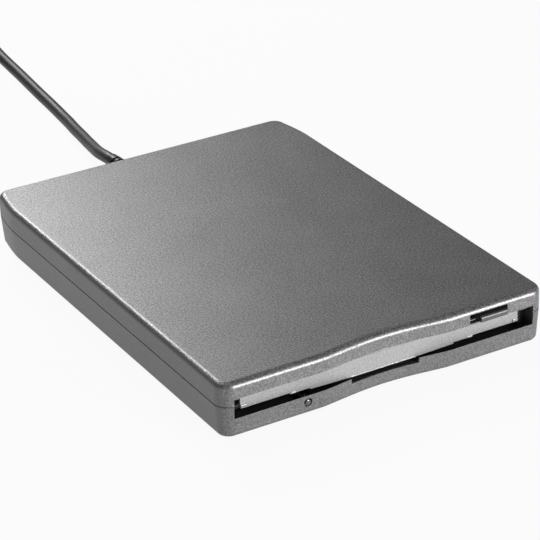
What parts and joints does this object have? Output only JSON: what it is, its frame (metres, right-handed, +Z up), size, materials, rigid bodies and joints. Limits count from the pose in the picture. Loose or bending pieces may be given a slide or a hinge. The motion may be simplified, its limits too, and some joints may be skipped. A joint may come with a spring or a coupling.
{
  "type": "external floppy disk drive",
  "caption": "Slim external drive for 3.5 inch floppy disks, with a waved front, disk slot, eject button, lifting disk tray, moving heads and a coiled lead.",
  "frame": {"origin": "on the surface it stands on, under the middle of the case with its eject button", "axes": "+Y points to the back, where the lead leaves, so the disk slot faces -Y; +X is the side of the eject button; +Z is up"},
  "size_m": [0.103, 0.3324, 0.0174],
  "materials": {
    "shell_top": "fine metallic grey paint with a soft sheen, on moulded plastic",
    "shell_base": "darker grey paint with a soft sheen, on moulded plastic",
    "button": "grey moulded plastic, satin",
    "foot": "black rubber, matt",
    "black_plastic": "black moulded plastic, matt",
    "clear_plastic": "frosted clear plastic, polished end",
    "steel_sheet": "plated sheet steel, satin",
    "steel_part": "ground steel, bright",
    "spring_steel": "spring wire and strip, bright",
    "screw_steel": "plated steel, satin",
    "bearing_bronze": "oiled sintered bronze, satin",
    "core_steel": "stamped electrical steel, satin",
    "coil_copper": "enamelled copper wire, glossy",
    "magnet": "bonded magnet, matt dark grey",
    "ceramic": "polished pale ceramic",
    "aluminium_case": "drawn aluminium can, satin",
    "board": "green solder mask over glass fibre, semi-gloss",
    "white_plastic": "white moulded plastic, satin",
    "led": "pale green clear resin, glossy",
    "lead_black": "dark grey soft vinyl sheath with a soft sheen",
    "plug_steel": "nickel-plated formed steel"
  },
  "bodies": {
    "case": {"top_shell": "shell_top", "bottom_shell": "shell_base", "rubber_feet": "foot", "case_screws": "screw_steel", "light_pipe": "clear_plastic", "entrance_bezel": "black_plastic", "drive_frame": "steel_sheet", "drive_cover": "steel_sheet", "frame_screws": "screw_steel", "slide_springs": "spring_steel", "motor_plate": "board", "spindle_bearing": "bearing_bronze", "stator_core": "core_steel", "stator_coils": "coil_copper", "guide_rod": "steel_part", "rod_clamps": "steel_sheet", "stepper_motor": "aluminium_case", "screw_bearing": "white_plastic", "track_zero_sensor": "black_plastic", "disk_switches": "black_plastic", "drive_board": "board", "usb_board": "board", "usb_board_parts": "black_plastic", "ribbon_cable": "white_plastic", "board_screws": "screw_steel", "status_led": "led", "lead_connector": "white_plastic", "lead_wires": "lead_black", "cable_strain_relief": "lead_black", "usb_lead": "lead_black", "usb_lead_coil": "lead_black", "usb_lead_tail": "lead_black", "coil_tie": "lead_black", "plug_overmould": "lead_black", "plug_shell": "plug_steel", "plug_tongue": "white_plastic"},
    "eject_slide": {"eject_button": "button", "slide_plate": "steel_sheet"},
    "lift": {"disk_carrier": "steel_sheet", "lever_spring": "spring_steel"},
    "lever": {"shutter_lever": "steel_sheet"},
    "door": {"dust_door": "shell_top"},
    "spindle": {"spindle_rotor": "steel_sheet", "rotor_magnet": "magnet", "spindle_shaft": "steel_part"},
    "heads": {"head_carriage": "black_plastic", "lower_head": "ceramic"},
    "head_arm": {"upper_head_arm": "black_plastic", "upper_head": "ceramic", "head_load_spring": "spring_steel"},
    "screw": {"lead_screw": "steel_part"}
  },
  "joints": [
    {"name": "eject_slide", "type": "slide", "parent": "case", "child": "eject_slide", "axis": [0, -1, 0], "range_m": [-0.0005, 0.0045], "deforming": ["slide_springs"]},
    {"name": "lift_travel", "type": "slide", "parent": "case", "child": "lift", "axis": [0, 0, -1], "range_m": [-0.00022, 0.00182]},
    {"name": "shutter_lever", "type": "hinge", "parent": "lift", "child": "lever", "pos_m": [-0.04205, -0.0013, 0.0114], "axis": [0, 0, 1], "range_deg": [0, 55], "stiffness_Nm_per_rad": 0.002, "springref_deg": -11.46},
    {"name": "dust_door", "type": "hinge", "parent": "case", "child": "door", "pos_m": [0, -0.06795, 0.01185], "axis": [1, 0, 0], "range_deg": [0, 80], "stiffness_Nm_per_rad": 0.0004, "springref_deg": -17.19},
    {"name": "spindle_spin", "type": "hinge", "parent": "case", "child": "spindle", "pos_m": [0, -0.0203, 0.004], "axis": [0, 0, 1], "continuous": true},
    {"name": "head_travel", "type": "slide", "parent": "case", "child": "heads", "axis": [0, -1, 0], "range_m": [0, 0.0148]},
    {"name": "lead_screw_spin", "type": "hinge", "parent": "case", "child": "screw", "pos_m": [-0.015, 0.04, 0.0082], "axis": [0, -1, 0], "range_deg": [-2, 1423]},
    {"name": "head_arm_lift", "type": "hinge", "parent": "heads", "child": "head_arm", "pos_m": [0, 0.0516, 0.0119], "axis": [1, 0, 0], "range_deg": [-0.8, 6.5]}
  ],
  "couplings": [
    {"joint": "lift_travel", "follows": "eject_slide", "ratio": 0.4},
    {"joint": "head_arm_lift", "follows": "eject_slide", "rad_per_m": 24.8},
    {"joint": "lead_screw_spin", "follows": "head_travel", "rad_per_m": 1675.5}
  ]
}
